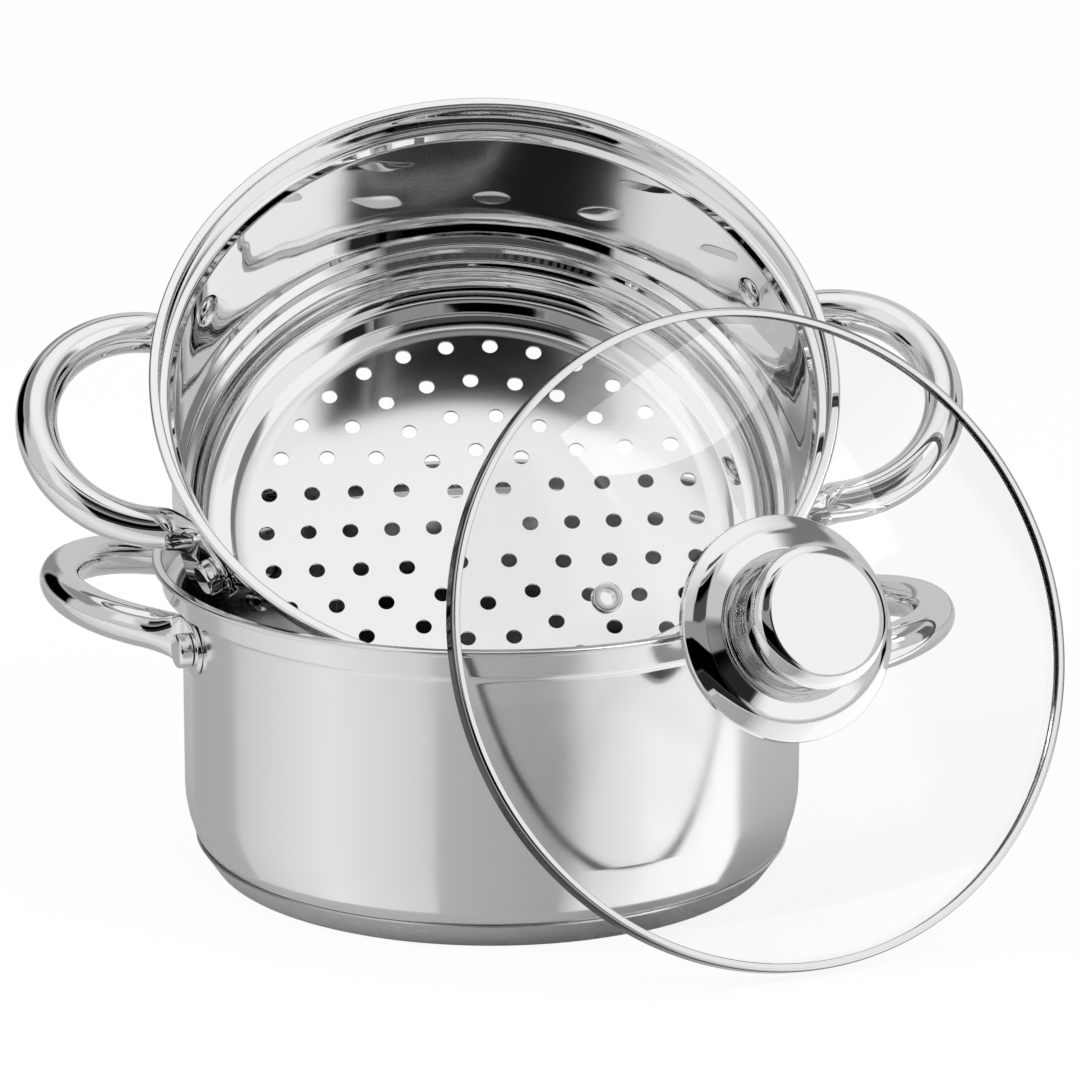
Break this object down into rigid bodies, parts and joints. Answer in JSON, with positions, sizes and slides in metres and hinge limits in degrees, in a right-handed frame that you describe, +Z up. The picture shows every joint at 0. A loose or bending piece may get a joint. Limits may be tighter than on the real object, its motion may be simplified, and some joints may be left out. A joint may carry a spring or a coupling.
{
  "type": "steamer pot",
  "caption": "Steel cooking pot with a pierced steamer insert leaning in its mouth and a domed glass lid with a steel knob leaning against its rim; loop handles on both vessels.",
  "frame": {"origin": "centre of the pot's flat base, on the surface it stands on", "axes": "+Z up; +X along the line through the pot's handles; -Y towards the side that the steamer's mouth faces"},
  "size_m": [0.3607, 0.2618, 0.2538],
  "materials": {
    "pot_steel": "satin polish",
    "base_steel": "satin",
    "core_aluminium": "cast, hidden",
    "steamer_steel": "mirror polish",
    "handle_steel": "mirror polish",
    "rivet_steel": "polished",
    "rim_steel": "polished",
    "knob_steel": "mirror polish",
    "screw_steel": "plain",
    "knob_rubber": "matt",
    "lid_glass": "clear"
  },
  "bodies": {
    "pot": {"pot_body": "pot_steel", "base_capsule": "base_steel", "base_core": "core_aluminium", "pot_handle_right": "handle_steel", "pot_handle_left": "handle_steel", "pot_rivet_right_rear": "rivet_steel", "pot_rivet_left_rear": "rivet_steel", "pot_rivet_left_front": "rivet_steel", "pot_rivet_right_front": "rivet_steel"},
    "steamer": {"steamer_body": "steamer_steel", "steamer_handle_right": "handle_steel", "steamer_handle_left": "handle_steel", "steamer_rivet_right_rear": "rivet_steel", "steamer_rivet_left_rear": "rivet_steel", "steamer_rivet_left_front": "rivet_steel", "steamer_rivet_right_front": "rivet_steel"},
    "lid": {"lid_glass": "lid_glass", "lid_rim": "rim_steel", "vent_eyelet": "rim_steel", "knob_pad": "knob_rubber", "knob_plate": "knob_steel", "knob_neck": "knob_steel", "knob_cap": "knob_steel", "knob_washer": "screw_steel", "knob_screw": "screw_steel"}
  },
  "joints": [
    {"name": "steamer_lift", "type": "slide", "parent": "pot", "child": "steamer", "axis": [-0.0911, 0.4916, 0.866], "range_m": [0, 0.2]},
    {"name": "lid_lift", "type": "slide", "parent": "pot", "child": "lid", "axis": [0.5201, -0.7409, 0.425], "range_m": [0, 0.15]}
  ]
}
